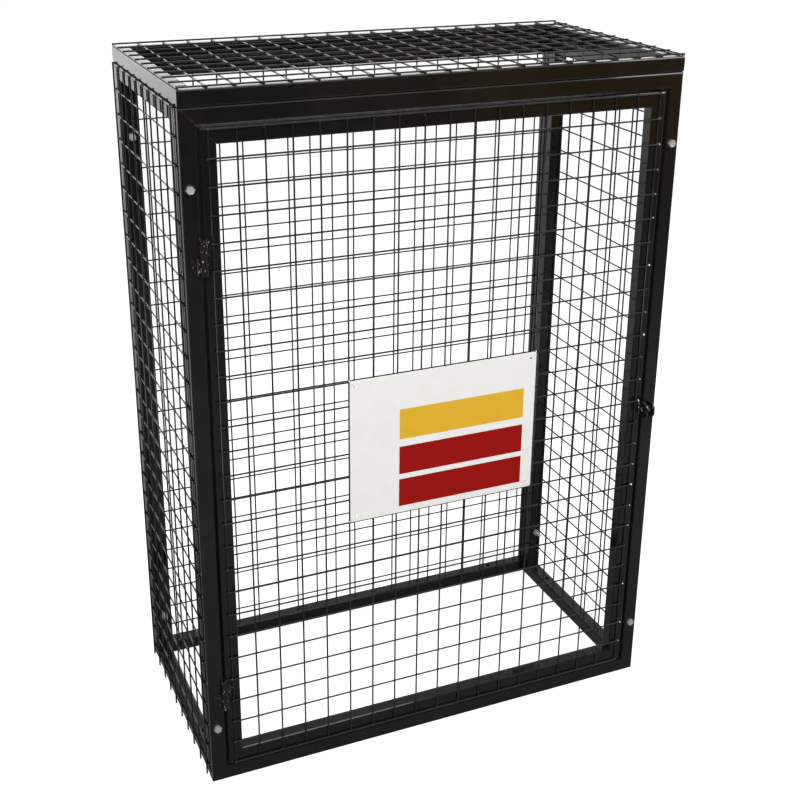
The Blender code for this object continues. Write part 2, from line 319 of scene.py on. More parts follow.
# %% Node group: settled dust
DUST_COLOUR = (0.30, 0.28, 0.25, 1)
dust, dust_in, dust_out = new_group(
    "settled dust",
    [("Vector", "Vector", None), ("Colour", "Color", (0.01, 0.01, 0.01, 1)), ("Roughness", "Float", 0.3),
     ("Amount", "Float", 0.2)],
    [("Colour", "Color"), ("Roughness", "Float")],
)
facing = split(dust, add_node(dust, "ShaderNodeNewGeometry").outputs["Normal"])
level = spread(dust, facing["Z"], 0.55, 0.95)
specks = spread(dust, noise(dust, dust_in["Vector"], 90.0, 6.0, 0.75), 0.42, 0.78)
lying = maths(dust, "MULTIPLY", level, specks, dust_in["Amount"])
feed(dust, dust_out, {
    "Colour": blend_colour(dust, lying, dust_in["Colour"], DUST_COLOUR),
    "Roughness": maths(dust, "ADD", dust_in["Roughness"], maths(dust, "MULTIPLY", lying, 0.5)),
})
print(dust.name, "has", len(dust.nodes), "nodes")

# %% [markdown]
# A broken ring of dull, paler paint lies round each bolt, and this group makes it. The four bolts of a face
# mirror each other, so one distance serves all four: the place is folded across the middle of the cage with
# an absolute value, first in X and then in Z.

# %% Node group: pale ring round the bolts
BOLT_X = 0.485
BOLT_LOW = 0.1285
BOLT_HIGH = 1.236
PALE_RING_TO, CLEAN_FROM = 0.0080, 0.0105
pale_ring, pale_ring_in, pale_ring_out = new_group("bolt scuff", [("Vector", "Vector", None)], [("Mask", "Float")])
axes = split(pale_ring, pale_ring_in["Vector"])
sideways = maths(pale_ring, "SUBTRACT", maths(pale_ring, "ABSOLUTE", axes["X"]), BOLT_X)
off_middle = maths(pale_ring, "ABSOLUTE", maths(pale_ring, "SUBTRACT", axes["Z"], (BOLT_LOW + BOLT_HIGH) / 2))
upwards = maths(pale_ring, "SUBTRACT", off_middle, (BOLT_HIGH - BOLT_LOW) / 2)
squares = [maths(pale_ring, "MULTIPLY", length, length) for length in (sideways, upwards)]
distance = maths(pale_ring, "SQRT", maths(pale_ring, "ADD", *squares))
ring = spread(pale_ring, distance, PALE_RING_TO, CLEAN_FROM, 1.0, 0.0)
broken = spread(pale_ring, noise(pale_ring, pale_ring_in["Vector"], 260.0, 3.0), 0.40, 0.62)
feed(pale_ring, pale_ring_out, {"Mask": maths(pale_ring, "MULTIPLY", ring, broken)})
print(pale_ring.name, "has", len(pale_ring.nodes), "nodes")

# %% [markdown]
# Round the welds the paint is broken by small bright spots, partly bare steel and partly painted glints.
# This group makes them a few millimetres across, and its Amount says how much of the surface they take. A
# Squeeze below 1 draws them out into upright streaks.

# %% Node group: bright spots, bare steel and painted glints
bare_and_glint_spots, bare_and_glint_in, bare_and_glint_out = new_group(
    "bare spots", [("Vector", "Vector", None), ("Amount", "Float", 0.3), ("Squeeze", "Float", 1.0)],
    [("Mask", "Float")],
)
axes = split(bare_and_glint_spots, bare_and_glint_in["Vector"])
squeezed_up = maths(bare_and_glint_spots, "MULTIPLY", axes["Z"], bare_and_glint_in["Squeeze"])
squeezed = add_node(bare_and_glint_spots, "ShaderNodeCombineXYZ")
feed(bare_and_glint_spots, squeezed, {"X": axes["X"], "Y": axes["Y"], "Z": squeezed_up})
patchy = noise(bare_and_glint_spots, squeezed.outputs[0], 330.0, 2.0)
limit = maths(bare_and_glint_spots, "SUBTRACT", 0.70, maths(bare_and_glint_spots, "MULTIPLY", bare_and_glint_in["Amount"], 0.30))
spots = spread(bare_and_glint_spots, patchy, limit, maths(bare_and_glint_spots, "ADD", limit, 0.05))
feed(bare_and_glint_spots, bare_and_glint_out, {"Mask": spots})
print(bare_and_glint_spots.name, "has", len(bare_and_glint_spots.nodes), "nodes")

# %% [markdown]
# ## Painted steel
# Gloss black paint reflects in its smooth skin, so the shader has a coat that carries the gloss over a
# duller base. Ambient Occlusion finds narrow gaps, such as round the door: near another surface the coat
# fades out, which paints shade into the gloss there, and the base turns rougher.
#
# Tubes, wires, hinges, weld beads and the drops on the tips of the door's crosswires share the groups, each
# with its own values. The tubes are smooth. The hinges, beads and tips are lumpy, and bright spots break
# their
# paint: on the hinges and beads partly bare steel and partly painted glints, on the tips painted glints.

# %% Build the painted finishes
PALE_RING_COLOUR = (0.055, 0.053, 0.048, 1)
# the bright spots' colour: partly worn steel, partly painted glint
WORN_STEEL_AND_GLINT = (0.46, 0.43, 0.38)
BUMP_HEIGHT = 0.0006


def painted(name, paint, haze, gloss, dull, dust_amount, bump,
            ringed=False, bare_and_glint=0.0, steel=WORN_STEEL_AND_GLINT, squeeze=1.0, reach=0.004):
    """Gloss paint with haze, dust and orange peel.

    The flag for bolts adds a pale ring round each one. The amount of spots adds bright spots in the colour
    steel, partly steel showing through the paint and partly painted glints, drawn out upwards by a squeeze
    below 1. Where another surface lies within reach the coat fades out, which paints shade into the gloss."""
    material, tree, shader, place = new_finish(name)
    skin = place_group(tree, film, {"Vector": place, "Paint": (*paint, 1), "Haze": (*haze, 1),
                                    "Gloss": gloss, "Dull": dull})
    colour, rough = skin["Colour"], skin["Roughness"]
    # A paler, duller ring of paint round each bolt.
    if ringed:
        pale_ring_mask = place_group(tree, pale_ring, {"Vector": place})["Mask"]
        colour = blend_colour(tree, pale_ring_mask, colour, PALE_RING_COLOUR)
        rough = maths(tree, "ADD", rough, maths(tree, "MULTIPLY", pale_ring_mask, 0.25))
    # Bright spots in the colour steel: partly worn steel and partly painted glints.
    if bare_and_glint:
        worn_and_glint = place_group(tree, bare_and_glint_spots, {"Vector": place, "Amount": bare_and_glint, "Squeeze": squeeze})["Mask"]
        colour = blend_colour(tree, worn_and_glint, colour, (*steel, 1))
    # Painted shade: near another surface the coat fades, darkening the gloss in gaps, and the base turns
    # rougher.
    nook = add_node(tree, "ShaderNodeAmbientOcclusion", samples=4)
    feed(tree, nook, {"Distance": reach})
    shade_and_rough_nook = spread(tree, nook.outputs["AO"], 0.35, 0.72, 1.0, 0.0)
    rough = maths(tree, "ADD", rough, maths(tree, "MULTIPLY", shade_and_rough_nook, 0.35))
    settled = place_group(tree, dust, {"Vector": place, "Colour": colour, "Roughness": rough,
                                       "Amount": dust_amount})
    relief = add_node(tree, "ShaderNodeBump")
    feed(tree, relief, {"Strength": bump, "Distance": BUMP_HEIGHT, "Height": skin["Height"]})
    feed(tree, shader, {
        "Base Color": settled["Colour"],
        "Roughness": settled["Roughness"],
        "Specular IOR Level": 0.2,
        "Coat Weight": maths(tree, "MULTIPLY", maths(tree, "SUBTRACT", 1.0, shade_and_rough_nook), 0.85),
        "Coat Roughness": 0.05,
        "Normal": relief.outputs["Normal"],
    })
    return material


TUBE_PAINT = painted(
    "gloss_black_tube", paint=(0.0040, 0.0038, 0.0034), haze=(0.0076, 0.0066, 0.0048), gloss=0.12, dull=0.22,
    dust_amount=0.02, bump=0.05, ringed=True, reach=0.016,
)
WIRE_PAINT = painted(
    "gloss_black_wire", paint=(0.0085, 0.0082, 0.0074), haze=(0.017, 0.016, 0.0135), gloss=0.16, dull=0.28,
    dust_amount=0.04, bump=0.05,
)
# On the hinges and the weld beads the bright spots are partly bare steel and partly painted glints.
HINGE_PAINT = painted(
    "gloss_black_hinge", paint=(0.0045, 0.0042, 0.0037), haze=(0.012, 0.0105, 0.008), gloss=0.12, dull=0.24,
    dust_amount=0.03, bump=0.10, bare_and_glint=0.17, steel=(0.40, 0.38, 0.34), squeeze=0.40,
)
BEAD_PAINT = painted(
    "gloss_black_weld", paint=(0.010, 0.0095, 0.0085), haze=(0.028, 0.025, 0.021), gloss=0.12, dull=0.26,
    dust_amount=0.04, bump=0.20, bare_and_glint=0.28,
)
# Painted glints: near-white spots cover nearly all of the drops on the right ends of the door's crosswires.
GLINT_TIP_PAINT = painted(
    "painted_glint_tip", paint=(0.014, 0.0132, 0.0116), haze=(0.040, 0.036, 0.030), gloss=0.12, dull=0.26,
    dust_amount=0.04, bump=0.20, bare_and_glint=1.2, steel=(0.95, 0.94, 0.91),
)
PAINTS = (TUBE_PAINT, WIRE_PAINT, HINGE_PAINT, BEAD_PAINT, GLINT_TIP_PAINT)
print("painted finishes:", [paint.name for paint in PAINTS])

# %% [markdown]
# ## Bright zinc
# The bolts are plated. Zinc is a soft grey metal with cloudy spangles, and its plating scatters much of the
# light, so the shader is only half metallic. A Voronoi pattern gives it two tones, and roughness follows
# them.

# %% Build the zinc finish
PALE_ZINC, DARK_ZINC = (0.52, 0.52, 0.51, 1), (0.42, 0.43, 0.43, 1)
ZINC, tree, shader, place = new_finish("bright_zinc")
spangle = add_node(tree, "ShaderNodeTexVoronoi")
feed(tree, spangle, {"Vector": place, "Scale": 650.0})
faint_spangle = maths(tree, "MULTIPLY", spangle.outputs["Distance"], 0.6)
cloud = maths(tree, "ADD", faint_spangle, noise(tree, place, 120.0, 3.0))
feed(tree, shader, {
    "Base Color": blend_colour(tree, spread(tree, cloud, 0.5, 1.0), PALE_ZINC, DARK_ZINC),
    "Metallic": 0.45,
    "Roughness": spread(tree, cloud, 0.4, 1.1, 0.40, 0.52),
})
print(ZINC.name, "has", len(tree.nodes), "nodes")

# %% [markdown]
# ## The sign
# The plate is white plastic with three blocks of colour: one yellow, two red. Each block is a rectangle in
# the plate's own plane. *printed block* tests how far a point is from the block's middle, and its mask is 1
# inside. Only the front is printed, so the mask is 0 behind the plate's face. Noise mottles the ink a little.

# %% Node group: printed block
block, block_in, block_out = new_group(
    "printed block",
    [("Vector", "Vector", None), ("Middle X", "Float", 0.0), ("Middle Z", "Float", 0.0),
     ("Half Width", "Float", 0.1), ("Half Height", "Float", 0.03), ("Face Y", "Float", 0.0)],
    [("Mask", "Float")],
)
axes = split(block, block_in["Vector"])
inside = []
for axis, middle, half in (("X", "Middle X", "Half Width"), ("Z", "Middle Z", "Half Height")):
    off = maths(block, "ABSOLUTE", maths(block, "SUBTRACT", axes[axis], block_in[middle]))
    inside.append(maths(block, "LESS_THAN", off, block_in[half]))
on_face = maths(block, "LESS_THAN", axes["Y"], block_in["Face Y"])
feed(block, block_out, {"Mask": maths(block, "MULTIPLY", *inside, on_face)})
print(block.name, "has", len(block.nodes), "nodes")

# %% Build the sign's finish
sign_low, sign_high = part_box("sign_plate")
SIGN_MIDDLE = (sign_low + sign_high) / 2
WHITE, OFF_WHITE = (0.80, 0.79, 0.76, 1), (0.775, 0.765, 0.735, 1)
YELLOW = ((0.73, 0.43, 0.030, 1), (0.66, 0.38, 0.026, 1))
RED = ((0.31, 0.005, 0.003, 1), (0.28, 0.004, 0.002, 1))
INK_DEPTH = 0.0003
BLOCK_RIGHT = 0.039
BLOCK_HALF_WIDTH = 0.136
BLOCKS = (  # height above the sign's middle, half height, ink
    (0.043, 0.032, YELLOW),
    (-0.035, 0.030, RED),
    (-0.106, 0.030, RED),
)
SIGN_PRINT, tree, shader, place = new_finish("printed_sign")
mottle = noise(tree, place, 30.0, 5.0, 0.6)
colour = blend_colour(tree, spread(tree, mottle, 0.35, 0.7), WHITE, OFF_WHITE)
for height, half_height, (strong, weak) in BLOCKS:
    printed = place_group(tree, block, {
        "Vector": place, "Middle X": SIGN_MIDDLE.x + BLOCK_RIGHT, "Middle Z": SIGN_MIDDLE.z + height,
        "Half Width": BLOCK_HALF_WIDTH, "Half Height": half_height, "Face Y": sign_low.y + INK_DEPTH,
    })["Mask"]
    colour = blend_colour(tree, printed, colour, blend_colour(tree, mottle, strong, weak))
feed(tree, shader, {
    "Base Color": colour,
    "Roughness": spread(tree, noise(tree, place, 140.0, 3.0), 0.3, 0.7, 0.32, 0.46),
    "Specular IOR Level": 0.1,
})
print(SIGN_PRINT.name, "has", len(tree.nodes), "nodes and", len(BLOCKS), "blocks")

# %% [markdown]
# ## Finish the solids
# The solids keep their shapes. Each gets its finish through its material slot.

# %% Give every solid its finish
FINISHES = {"hinge_": HINGE_PAINT, "padlock_": HINGE_PAINT, "sign_": SIGN_PRINT}
for name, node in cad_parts.items():
    finish = next((material for start, material in FINISHES.items() if name.startswith(start)), TUBE_PAINT)
    if name.endswith("_pin"):
        finish = BEAD_PAINT
    node.material_slots[0].material = finish
print("finished", len(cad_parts), "solids")

# %% [markdown]
# ## The wire mesh
# Each panel is welded mesh at 50 mm, of wire 3.4 mm thick with its paint: uprights first, crosswires over
# them, fused where they cross. The solids carry only some of the wires on the walls and the lid, so here
# every wire is made.
#
# One wire is modelled with a chamfered, cropped end. A row of them comes from an Array modifier. The fused
# spot at a crossing is one small flattened bead, repeated both ways. A panel is made flat, facing -Y, and
# then turned and moved to its wall.

# %% Model one wire and one bead
PITCH = 0.050
WIRE = 0.0017  # radius
SINK = 0.0014  # how deep crossing wires are fused
LIFT = 0.0003  # keeps a piece clear of the face it lies on
LEVEL = 1e-6
POLE = 0.9


def model_wire(length, along):
    """A wire along X or Z with chamfered ends."""
    start_clean()
    bpy.ops.mesh.primitive_cylinder_add(vertices=10, radius=WIRE, depth=length)
    wire = bpy.context.object
    edit_by_place("EDGE", lambda edge: max(heights(edge)) - min(heights(edge)) < LEVEL)
    bpy.ops.mesh.bevel(offset=WIRE * 0.25, segments=1)
    bpy.ops.object.mode_set(mode="OBJECT")
    wire.rotation_euler = (0, math.pi / 2 if along == "X" else 0, 0)
    return settle(wire, "wire")


def model_spot(radius, flat, rings=4, segments=8):
    """A low round bead with blunt poles, flattened along Y."""
    start_clean()
    bpy.ops.mesh.primitive_uv_sphere_add(segments=segments, ring_count=rings, radius=radius)
    spot = bpy.context.object
    edit_by_place("VERT", lambda vertex: abs(vertex.co.z) > radius * POLE)
    bpy.ops.transform.resize(value=(1, 1, POLE))
    bpy.ops.object.mode_set(mode="OBJECT")
    spot.scale = (1, flat, 1)
    return settle(spot, "spot", 80)


print("a wire is", WIRE * 2000, "mm thick")

# %% Welds on the wires' ends
CHANCE = random.Random(50)
NUGGET = 0.0026
NO_NUGGET = 0.25  # the share of ends without one
DROP = 0.0023
NO_DROP = 0.3


def weld_ends(ends):
    """Small uneven nuggets of weld over the wires' ends, where they lie on the tube."""
    nugget = model_spot(NUGGET, 0.55)
    nuggets = []
    for x, z, layer, turn in ends:
        if CHANCE.random() < NO_NUGGET:
            continue
        size = CHANCE.uniform(0.7, 1.15)
        shape = (size * CHANCE.uniform(0.8, 1.1), size, size * CHANCE.uniform(1.0, 1.5))
        y = min(layer + 0.0006, -0.0009)
        place = (x + CHANCE.uniform(-0.0008, 0.0008), y, z + CHANCE.uniform(-0.001, 0.001))
        slant = math.radians(turn + CHANCE.uniform(-20, 20))
        nuggets.append(copy_to(nugget, place, (0, slant, 0), shape))
    put_away(nugget)
    return nuggets


def weld_tips(name, x, low_z, up, count, y):
    """Uneven drops on the tips of a column of crosswires; their finish paints them bright as glints."""
    drop = model_spot(DROP, 0.75, 6, 10)
    drops = []
    for row in range(count):
        if CHANCE.random() < NO_DROP:
            continue
        size = CHANCE.uniform(0.6, 1.2)
        place = (x + CHANCE.uniform(-0.0006, 0.0010), y, low_z + row * up + CHANCE.uniform(-0.0008, 0.0008))
        spin = (0, CHANCE.uniform(0, 3), 0)
        drops.append(copy_to(drop, place, spin, (size, size, size * CHANCE.uniform(0.7, 1.2))))
    put_away(drop)
    print(f"{name}: {len(drops)} drops on {count} tips")
    return join(drops, name, 80)


print("one nugget is", NUGGET * 2000, "mm across")

# %% Lay a panel of mesh
UPRIGHT_WELD, CROSSWIRE_WELD = 0.006, 0.004  # from the wire's end to its weld


def lay_panel(name, span, length, middle=(0, 0), slide=0, uprights_out=False, rise=0.0):
    """A flat panel in the XZ plane, whose wires lie on the plane y = 0 and stand towards -Y.

    span is between the outermost wires, length is the wires' own, each as (across, up), and middle is the
    middle of the span. slide moves the crosswires along themselves. The crosswires are the outer layer unless
    uprights_out is set. rise lets the uprights stand out above the top."""
    columns, rows = round(span[0] / PITCH), round(span[1] / PITCH)
    across, up = span[0] / columns, span[1] / rows
    layers = (-LIFT - WIRE, -LIFT - 3 * WIRE + SINK)
    upright_layer, crosswire_layer = reversed(layers) if uprights_out else layers
    low_x, low_z = middle[0] - span[0] / 2, middle[1] - span[1] / 2
    uprights = model_wire(length[1] + rise, "Z")
    uprights.location = (low_x, upright_layer, rise / 2)
    repeat(uprights, columns + 1, (across, 0, 0))
    crosswires = model_wire(length[0], "X")
    crosswires.location = (slide, crosswire_layer, low_z)
    repeat(crosswires, rows + 1, (0, 0, up))
    spots = model_spot(WIRE * 1.45, 0.9)
    spots.location = (low_x, sum(layers) / 2, low_z)
    repeat(spots, columns + 1, (across, 0, 0))
    repeat(spots, rows + 1, (0, 0, up))
    ends = [(low_x + i * across, side * (length[1] / 2 - UPRIGHT_WELD), upright_layer, 0)
            for i in range(columns + 1) for side in (-1, 1)]
    ends += [(slide + side * (length[0] / 2 - CROSSWIRE_WELD), low_z + i * up, crosswire_layer, 90)
             for i in range(rows + 1) for side in (-1, 1)]
    print(f"{name}: {columns + 1} uprights, {rows + 1} crosswires, {len(ends)} wire ends")
    return join([uprights, crosswires, spots], name), join(weld_ends(ends), name + "_end_welds", 80)


def finish_piece(piece, material, body):
    piece.data.materials.clear()
    piece.data.materials.append(material)
    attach(piece, body)


def stand_panel(panel_and_welds, place, turn, node, body):
    """Moves a flat panel to its wall, where it stands for the solid sheet."""
    for piece, material in zip(panel_and_welds, (WIRE_PAINT, BEAD_PAINT)):
        piece.matrix_world = Matrix.Translation(place) @ turn
        finish_piece(settle(piece, piece.name), material, body)
    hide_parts(node)


print("panels are laid at", PITCH * 1000, "mm")

# %% Hang the five panels
EDGE = 0.0025  # from the panel's edge to its outermost wire
STILE_LAP = 0.015  # from the door's side to its outermost uprights
TIP = 0.005  # how far a crosswire of the door runs past them
MIDDLE = (FRONT + BACK) / 2
DEPTH, WIDTH = BACK - FRONT, RIGHT - LEFT
HALF_UP = FRAME_TOP / 2
door_size = DOOR_HIGH - DOOR_LOW
door_middle = (DOOR_LOW + DOOR_HIGH) / 2
door_span = (door_size.x - 2 * STILE_LAP, door_size.z - 2 * EDGE)
door_rows = round(door_span[1] / PITCH)
door_panel = lay_panel("door_wires", door_span, (door_span[0] + 2 * TIP, door_size.z))
stand_panel(door_panel, (door_middle.x, FRONT, door_middle.z), about("Z", 0), "door_mesh", "door")
# Drops at the right ends of the door's crosswires, painted bright as glints by their finish.
tips = weld_tips("door_wire_tip_glints", door_middle.x + door_span[0] / 2 + TIP, DOOR_LOW.z + EDGE,
                 door_span[1] / door_rows, door_rows + 1, FRONT - 2 * WIRE)
finish_piece(tips, GLINT_TIP_PAINT, "door")
back_panel = lay_panel("back_wires", (0.950, 1.350), (WIDTH, FRAME_TOP), middle=(0.015, -0.0065))
stand_panel(back_panel, (0, BACK, HALF_UP), about("Z", 180), "back_mesh", "cage")
for side, x, degrees in (("left", LEFT, -90), ("right", RIGHT, 90)):
    side_panel = lay_panel(side + "_wires", (0.450, 1.350), (0.470, FRAME_TOP), middle=(-0.006, 0.011),
                           slide=-0.006, uprights_out=True, rise=0.003)
    stand_panel(side_panel, (x, MIDDLE, HALF_UP), about("Z", degrees), side + "_mesh", "cage")
lid_panel = lay_panel("lid_wires", (WIDTH - 2 * EDGE, DEPTH - 2 * EDGE), (WIDTH, DEPTH))
stand_panel(lid_panel, (0, MIDDLE, LID_TOP), about("X", -90), "lid_mesh", "cage")

# %% [markdown]
# ## Bolts and nuts
# Eight long bolts hold the front frame and the back panel to the two sides. The front bolts go in from the
# door's side, with their nuts inside. The back bolts go in from behind, and their nuts and a little thread
# show inside the cage.
#
# A real head is turned round at its rim and has six flats. It is made here in the same order: a round disc
# gets a bevelled rim, and six cuts with bisect leave the flats, so the corners keep a round chamfer.

# %% Model a bolt head
ACROSS_FLATS = 0.013
CORNER_RADIUS = ACROSS_FLATS / math.sqrt(3)
RIM_BEVEL = 0.0009
HEAD_HEIGHT = 0.0050
TOP_AREA = 5e-5  # only the flat top is larger
DISH_RIM, DISH_DEPTH = 0.0008, 0.0003


def chamfer_hex(height, both_ends):
    """A hexagon along Z, with its middle at the origin, whose corners are turned off at one end or both."""
    start_clean()
    bpy.ops.mesh.primitive_cylinder_add(vertices=48, radius=CORNER_RADIUS, depth=height)
    piece = bpy.context.object
    edit_by_place("EDGE", lambda edge: min(heights(edge)) > 0 or both_ends and max(heights(edge)) < 0)
    bpy.ops.mesh.bevel(offset=RIM_BEVEL, segments=2)
    for corner in range(6):
        bpy.ops.mesh.select_all(action="SELECT")
        angle = math.radians(60 * corner + 30)
        flat = (math.cos(angle), math.sin(angle), 0)
        middle = tuple(ACROSS_FLATS / 2 * c for c in flat)
        bpy.ops.mesh.bisect(plane_co=middle, plane_no=flat, use_fill=True, clear_outer=True)
    bpy.ops.object.mode_set(mode="OBJECT")
    return piece


def model_head():
    """A bolt's head on the plane z = 0, whose top is sunk a little inside its rim."""
    head = chamfer_hex(HEAD_HEIGHT, False)
    edit_by_place("FACE", lambda face: face.normal.z > 0.9 and face.calc_area() > TOP_AREA)
    bpy.ops.mesh.inset(thickness=DISH_RIM)
    bpy.ops.transform.translate(value=(0, 0, -DISH_DEPTH))
    bpy.ops.object.mode_set(mode="OBJECT")
    head.location.z = HEAD_HEIGHT / 2 + LIFT
    return settle(head, "head", 25)


head_model = model_head()
print("head", len(head_model.data.polygons), "faces")

# %% Model a nut with the bolt's end
NUT_HEIGHT = 0.008
THREAD_OUT = 0.014  # how far the bolt stands out of its nut
THREAD_TURN = 0.0015
CORE_RADIUS, CORE_BEVEL, CORE_SINK = 0.0036, 0.0008, 0.001
RING_RADIUS, RING_THICKNESS = 0.0037, 0.0004
FIRST_TURN = 0.7


def model_nut():
    """A nut on the plane z = 0, with the bolt's end standing out of it. Rings stand for the thread."""
    nut = chamfer_hex(NUT_HEIGHT, True)
    nut.location.z = NUT_HEIGHT / 2 + LIFT
    settle(nut, "nut", 25)
    start_clean()
    core_length = THREAD_OUT + CORE_SINK
    bpy.ops.mesh.primitive_cylinder_add(vertices=20, radius=CORE_RADIUS, depth=core_length)
    core = bpy.context.object
    edit_by_place("EDGE", lambda edge: min(heights(edge)) > 0)
    bpy.ops.mesh.bevel(offset=CORE_BEVEL, segments=1)
    bpy.ops.object.mode_set(mode="OBJECT")
    core.location.z = NUT_HEIGHT + core_length / 2 - CORE_SINK
    rings = []
    for turn in range(round(THREAD_OUT / THREAD_TURN) - 1):
        start_clean()
        level = NUT_HEIGHT + (turn + FIRST_TURN) * THREAD_TURN
        bpy.ops.mesh.primitive_torus_add(major_segments=20, minor_segments=5, major_radius=RING_RADIUS,
                                         minor_radius=RING_THICKNESS, location=(0, 0, level))
        rings.append(bpy.context.object)
    return join([nut, core] + rings, "nut", 25)


nut_model = model_nut()
print("nut", len(nut_model.data.polygons), "faces")

# %% Put the bolts in
side_front_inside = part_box("left_front_post")[1].y
side_back_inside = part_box("left_back_post")[0].y
TO_FRONT, TO_BACK = math.pi / 2, -math.pi / 2
for title, x in (("left", -BOLT_X), ("right", BOLT_X)):
    for level, z in (("low", BOLT_LOW), ("high", BOLT_HIGH)):
        for end, head_y, head_turn, nut_y, nut_turn in (
            ("front", FRONT, TO_FRONT, side_front_inside, TO_BACK),
            ("back", BACK, TO_BACK, side_back_inside, TO_FRONT),
        ):
            pair = []
            for model, y, turned in ((head_model, head_y, head_turn), (nut_model, nut_y, nut_turn)):
                spin = Matrix.Rotation(CHANCE.uniform(0, math.pi / 3), 4, "Z")
                part = copy_to(model, (0, 0, 0))
                part.matrix_world = Matrix.Translation((x, y, z)) @ Matrix.Rotation(turned, 4, "X") @ spin
                pair.append(part)
            bolt = join(pair, f"bolt_{end}_{title}_{level}", 25)
            finish_piece(bolt, ZINC, "cage")
put_away(head_model)
put_away(nut_model)
print("8 bolts, each a head and a nut")

# %% [markdown]
# ## Welds
# The frames are welded at their mitres and the welds ground nearly flat, so the paint only shows a faint
# ridge. The hinges and the padlock tabs have plain beads that nobody ground, with spatter around them. A bead
# is a row of overlapping drops, as a welder lays them.

# %% Ground welds over the mitres
RIDGE_THICKNESS, RIDGE_WIDTH = 0.0003, 0.0030  # half of the thickness is in the tube
RIDGE_BEVEL = 0.00012
RIDGE_SHORTER = 0.008  # than the mitre
RIDGE_ANGLE = 20  # keeps the ridge's top shaded as flat as the tube


def model_ridge(length):
    """A low ridge along X on the plane y = 0, standing towards -Y."""
    start_clean()
    bpy.ops.mesh.primitive_cube_add(size=1, scale=(length, RIDGE_THICKNESS, RIDGE_WIDTH))
    ridge = bpy.context.object
    bpy.ops.object.transform_apply(scale=True)
    edit_by_place("EDGE", lambda edge: max(vertex.co.y for vertex in edge.verts) < 0)
    bpy.ops.mesh.bevel(offset=RIDGE_BEVEL, segments=2)
    bpy.ops.object.mode_set(mode="OBJECT")
    return settle(ridge, "ridge", RIDGE_ANGLE)


def weld_mitres(title, bars, across, up, out, body):
    """Ridges over the four mitres of the frame that two bars span.

    across and up are the frame's axes (0, 1 or 2) and out is the third, whose two faces are welded."""
    boxes = [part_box(bar) for bar in bars]
    low = Vector(map(min, *[box[0] for box in boxes]))
    high = Vector(map(max, *[box[1] for box in boxes]))
    ridges = []
    model = model_ridge(TUBE * math.sqrt(2) - RIDGE_SHORTER)
    for a, a_side in ((low[across] + TUBE / 2, 1), (high[across] - TUBE / 2, -1)):
        for u, u_side in ((low[up] + TUBE / 2, 1), (high[up] - TUBE / 2, -1)):
            for o, o_side in ((low[out], -1), (high[out], 1)):
                along, normal, place = Vector(), Vector(), Vector()
                along[across], along[up] = a_side, u_side
                normal[out] = o_side
                place[across], place[up], place[out] = a, u, o
                along.normalize()
                ridge_turn = Matrix((along, -normal, along.cross(-normal))).transposed().to_4x4()
                ridge = copy_to(model, (0, 0, 0))
                ridge.matrix_world = Matrix.Translation(place) @ ridge_turn
                ridges.append(ridge)
    put_away(model)
    finish_piece(join(ridges, title + "_mitre_welds", RIDGE_ANGLE), TUBE_PAINT, body)


WELDED_FRAMES = (
    ("front", ("front_left_post", "front_right_post"), 0, 2, 1, "cage"),
    ("back", ("back_left_post", "back_right_post"), 0, 2, 1, "cage"),
    ("left", ("left_front_post", "left_back_post"), 1, 2, 0, "cage"),
    ("right", ("right_front_post", "right_back_post"), 1, 2, 0, "cage"),
    ("lid", ("lid_left_rail", "lid_right_rail"), 0, 1, 2, "cage"),
    ("door", ("door_hinge_stile", "door_latch_stile"), 0, 2, 1, "door"),
)
for welded in WELDED_FRAMES:
    weld_mitres(*welded)
print("ground welds on", len(WELDED_FRAMES), "frames")

# %% Beads and spatter at the hinges and the tabs
BEAD_OUT = 0.0012  # from the frame's face to the middle of a bead
HINGE_BEAD, HINGE_BEAD_INSET = 0.0017, 0.002
TAB_BEAD, TAB_BEAD_INSET, TAB_BEAD_CLEAR = 0.0019, 0.003, 0.0004
SPATTER_AWAY = 0.006
SPECK = 0.0007


def lay_bead(start, end, radius):
    """A row of overlapping drops between two points."""
    start, end = Vector(start), Vector(end)
    count = max(2, round((end - start).length / (radius * 0.9)))
    drop = model_spot(radius, 0.75, 6, 10)
    drops = []
    for i in range(count):
        size = CHANCE.uniform(0.85, 1.15)
        place = start.lerp(end, i / (count - 1)) + Vector((CHANCE.uniform(-0.0004, 0.0004), 0, 0))
        drops.append(copy_to(drop, place, (0, CHANCE.uniform(0, 3), 0), (size, size, size * 0.8)))
    put_away(drop)
    return drops


def scatter(middle, spread_x, spread_z, count):
    """Specks of spatter stuck to the front face round a weld."""
    speck = model_spot(SPECK, 0.6, 4, 6)
    specks = []
    for _ in range(count):
        x = middle[0] + CHANCE.gauss(0, spread_x)
        z = middle[1] + CHANCE.gauss(0, spread_z)
        specks.append(copy_to(speck, (x, FRONT - 0.0002, z), (0, 0, 0), CHANCE.uniform(0.5, 1.4)))
    put_away(speck)
    return specks


